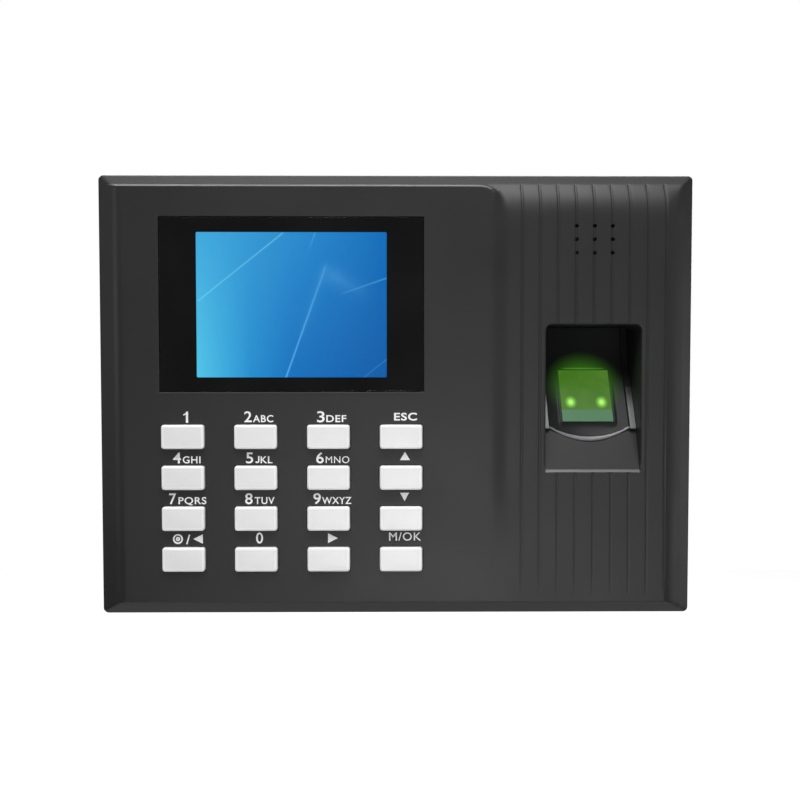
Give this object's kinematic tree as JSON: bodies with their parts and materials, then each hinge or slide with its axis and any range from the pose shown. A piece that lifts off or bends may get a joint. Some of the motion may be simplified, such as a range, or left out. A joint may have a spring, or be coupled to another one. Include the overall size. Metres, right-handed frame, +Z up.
{
  "type": "fingerprint scanner terminal",
  "caption": "Wall-mounted access terminal with a colour display, a keypad of silver keys, a sloped finger sensor well, a ribbed speaker panel and a sheet steel bracket.",
  "frame": {"origin": "centre of the wall bracket's back face, the plane that lies on the wall, behind the middle of the case", "axes": "+X to the right and +Z up seen from the front; the front faces -Y and +Y points into the wall"},
  "size_m": [0.181, 0.038, 0.1342],
  "materials": {
    "bracket_steel": "zinc plated sheet steel",
    "screw_steel": "zinc plated screws",
    "case_front": "charcoal plastic, fine satin moulded texture",
    "case_back": "charcoal plastic, matt moulded texture",
    "key_silver": "satin silver painted keys",
    "window_black": "clear acrylic with a black printed border",
    "screen": "lit colour display",
    "lcd_metal": "thin steel frame",
    "adhesive_black": "double-sided tape",
    "foam_grey": "foam pad",
    "film_amber": "flexible circuit film",
    "silicone_grey": "moulded silicone",
    "circuit_green": "circuit board with solder mask",
    "bezel_black": "glossy dark plastic",
    "sensor_glass": "coated optical glass, lit green",
    "housing_black": "matt black plastic",
    "lamp_green": "lit green lamps",
    "cable_white": "flat ribbon cable",
    "connector_ivory": "ivory nylon",
    "bright_metal": "plated metal",
    "contact_gold": "gold plated contacts",
    "tongue_white": "white nylon",
    "label_silver": "blank foil label"
  },
  "bodies": {
    "bracket": {"wall_bracket": "bracket_steel", "lock_screw": "screw_steel"},
    "terminal": {"front_cover": "case_front", "rear_cover": "case_back", "rating_label": "label_silver", "case_screws": "screw_steel", "display_window": "window_black", "window_adhesive": "adhesive_black", "lcd_frame": "lcd_metal", "lcd_panel": "screen", "lcd_foam": "foam_grey", "lcd_flex": "film_amber", "keypad_mat": "silicone_grey", "keypad_board": "circuit_green", "keypad_screws": "screw_steel", "keypad_connector": "connector_ivory", "sensor_bezel": "bezel_black", "sensor_prism": "sensor_glass", "sensor_housing": "housing_black", "sensor_board": "circuit_green", "sensor_lens": "housing_black", "sensor_leds": "lamp_green", "sensor_cable": "cable_white", "main_board": "circuit_green", "board_screws": "screw_steel", "board_chips": "housing_black", "board_capacitors": "bright_metal", "coin_cell": "bright_metal", "coin_cell_holder": "housing_black", "ethernet_jack": "bright_metal", "ethernet_contacts": "contact_gold", "dc_jack": "housing_black", "dc_jack_pin": "bright_metal", "usb_shell": "bright_metal", "usb_tongue": "tongue_white", "wiring_header": "connector_ivory", "header_pins": "contact_gold", "speaker_frame": "housing_black", "speaker_cone": "housing_black", "speaker_magnet": "bright_metal", "tamper_switch": "housing_black", "reset_switch": "housing_black"},
    "key_1": {"key_1": "key_silver"},
    "key_2": {"key_2": "key_silver"},
    "key_3": {"key_3": "key_silver"},
    "key_esc": {"key_esc": "key_silver"},
    "key_4": {"key_4": "key_silver"},
    "key_5": {"key_5": "key_silver"},
    "key_6": {"key_6": "key_silver"},
    "key_up": {"key_up": "key_silver"},
    "key_7": {"key_7": "key_silver"},
    "key_8": {"key_8": "key_silver"},
    "key_9": {"key_9": "key_silver"},
    "key_down": {"key_down": "key_silver"},
    "key_left": {"key_left": "key_silver"},
    "key_0": {"key_0": "key_silver"},
    "key_right": {"key_right": "key_silver"},
    "key_ok": {"key_ok": "key_silver"},
    "tamper_plunger": {"tamper_plunger": "tongue_white"},
    "reset_button": {"reset_button": "tongue_white"}
  },
  "joints": [
    {"name": "terminal_lift", "type": "slide", "parent": "bracket", "child": "terminal", "axis": [0, 0, 1], "range_m": [0, 0.007]},
    {"name": "key_1_press", "type": "slide", "parent": "terminal", "child": "key_1", "axis": [0, 1, 0], "range_m": [0, 0.001], "stiffness_N_per_m": 800, "springref_m": -0.0005, "deforming": ["keypad_mat"]},
    {"name": "key_2_press", "type": "slide", "parent": "terminal", "child": "key_2", "axis": [0, 1, 0], "range_m": [0, 0.001], "stiffness_N_per_m": 800, "springref_m": -0.0005, "deforming": ["keypad_mat"]},
    {"name": "key_3_press", "type": "slide", "parent": "terminal", "child": "key_3", "axis": [0, 1, 0], "range_m": [0, 0.001], "stiffness_N_per_m": 800, "springref_m": -0.0005, "deforming": ["keypad_mat"]},
    {"name": "key_esc_press", "type": "slide", "parent": "terminal", "child": "key_esc", "axis": [0, 1, 0], "range_m": [0, 0.001], "stiffness_N_per_m": 800, "springref_m": -0.0005, "deforming": ["keypad_mat"]},
    {"name": "key_4_press", "type": "slide", "parent": "terminal", "child": "key_4", "axis": [0, 1, 0], "range_m": [0, 0.001], "stiffness_N_per_m": 800, "springref_m": -0.0005, "deforming": ["keypad_mat"]},
    {"name": "key_5_press", "type": "slide", "parent": "terminal", "child": "key_5", "axis": [0, 1, 0], "range_m": [0, 0.001], "stiffness_N_per_m": 800, "springref_m": -0.0005, "deforming": ["keypad_mat"]},
    {"name": "key_6_press", "type": "slide", "parent": "terminal", "child": "key_6", "axis": [0, 1, 0], "range_m": [0, 0.001], "stiffness_N_per_m": 800, "springref_m": -0.0005, "deforming": ["keypad_mat"]},
    {"name": "key_up_press", "type": "slide", "parent": "terminal", "child": "key_up", "axis": [0, 1, 0], "range_m": [0, 0.001], "stiffness_N_per_m": 800, "springref_m": -0.0005, "deforming": ["keypad_mat"]},
    {"name": "key_7_press", "type": "slide", "parent": "terminal", "child": "key_7", "axis": [0, 1, 0], "range_m": [0, 0.001], "stiffness_N_per_m": 800, "springref_m": -0.0005, "deforming": ["keypad_mat"]},
    {"name": "key_8_press", "type": "slide", "parent": "terminal", "child": "key_8", "axis": [0, 1, 0], "range_m": [0, 0.001], "stiffness_N_per_m": 800, "springref_m": -0.0005, "deforming": ["keypad_mat"]},
    {"name": "key_9_press", "type": "slide", "parent": "terminal", "child": "key_9", "axis": [0, 1, 0], "range_m": [0, 0.001], "stiffness_N_per_m": 800, "springref_m": -0.0005, "deforming": ["keypad_mat"]},
    {"name": "key_down_press", "type": "slide", "parent": "terminal", "child": "key_down", "axis": [0, 1, 0], "range_m": [0, 0.001], "stiffness_N_per_m": 800, "springref_m": -0.0005, "deforming": ["keypad_mat"]},
    {"name": "key_left_press", "type": "slide", "parent": "terminal", "child": "key_left", "axis": [0, 1, 0], "range_m": [0, 0.001], "stiffness_N_per_m": 800, "springref_m": -0.0005, "deforming": ["keypad_mat"]},
    {"name": "key_0_press", "type": "slide", "parent": "terminal", "child": "key_0", "axis": [0, 1, 0], "range_m": [0, 0.001], "stiffness_N_per_m": 800, "springref_m": -0.0005, "deforming": ["keypad_mat"]},
    {"name": "key_right_press", "type": "slide", "parent": "terminal", "child": "key_right", "axis": [0, 1, 0], "range_m": [0, 0.001], "stiffness_N_per_m": 800, "springref_m": -0.0005, "deforming": ["keypad_mat"]},
    {"name": "key_ok_press", "type": "slide", "parent": "terminal", "child": "key_ok", "axis": [0, 1, 0], "range_m": [0, 0.001], "stiffness_N_per_m": 800, "springref_m": -0.0005, "deforming": ["keypad_mat"]},
    {"name": "tamper_press", "type": "slide", "parent": "terminal", "child": "tamper_plunger", "axis": [0, -1, 0], "range_m": [0, 0.0012], "stiffness_N_per_m": 300, "springref_m": -0.0015},
    {"name": "reset_press", "type": "slide", "parent": "terminal", "child": "reset_button", "axis": [0, -1, 0], "range_m": [0, 0.0003], "stiffness_N_per_m": 1000, "springref_m": -0.0008}
  ]
}
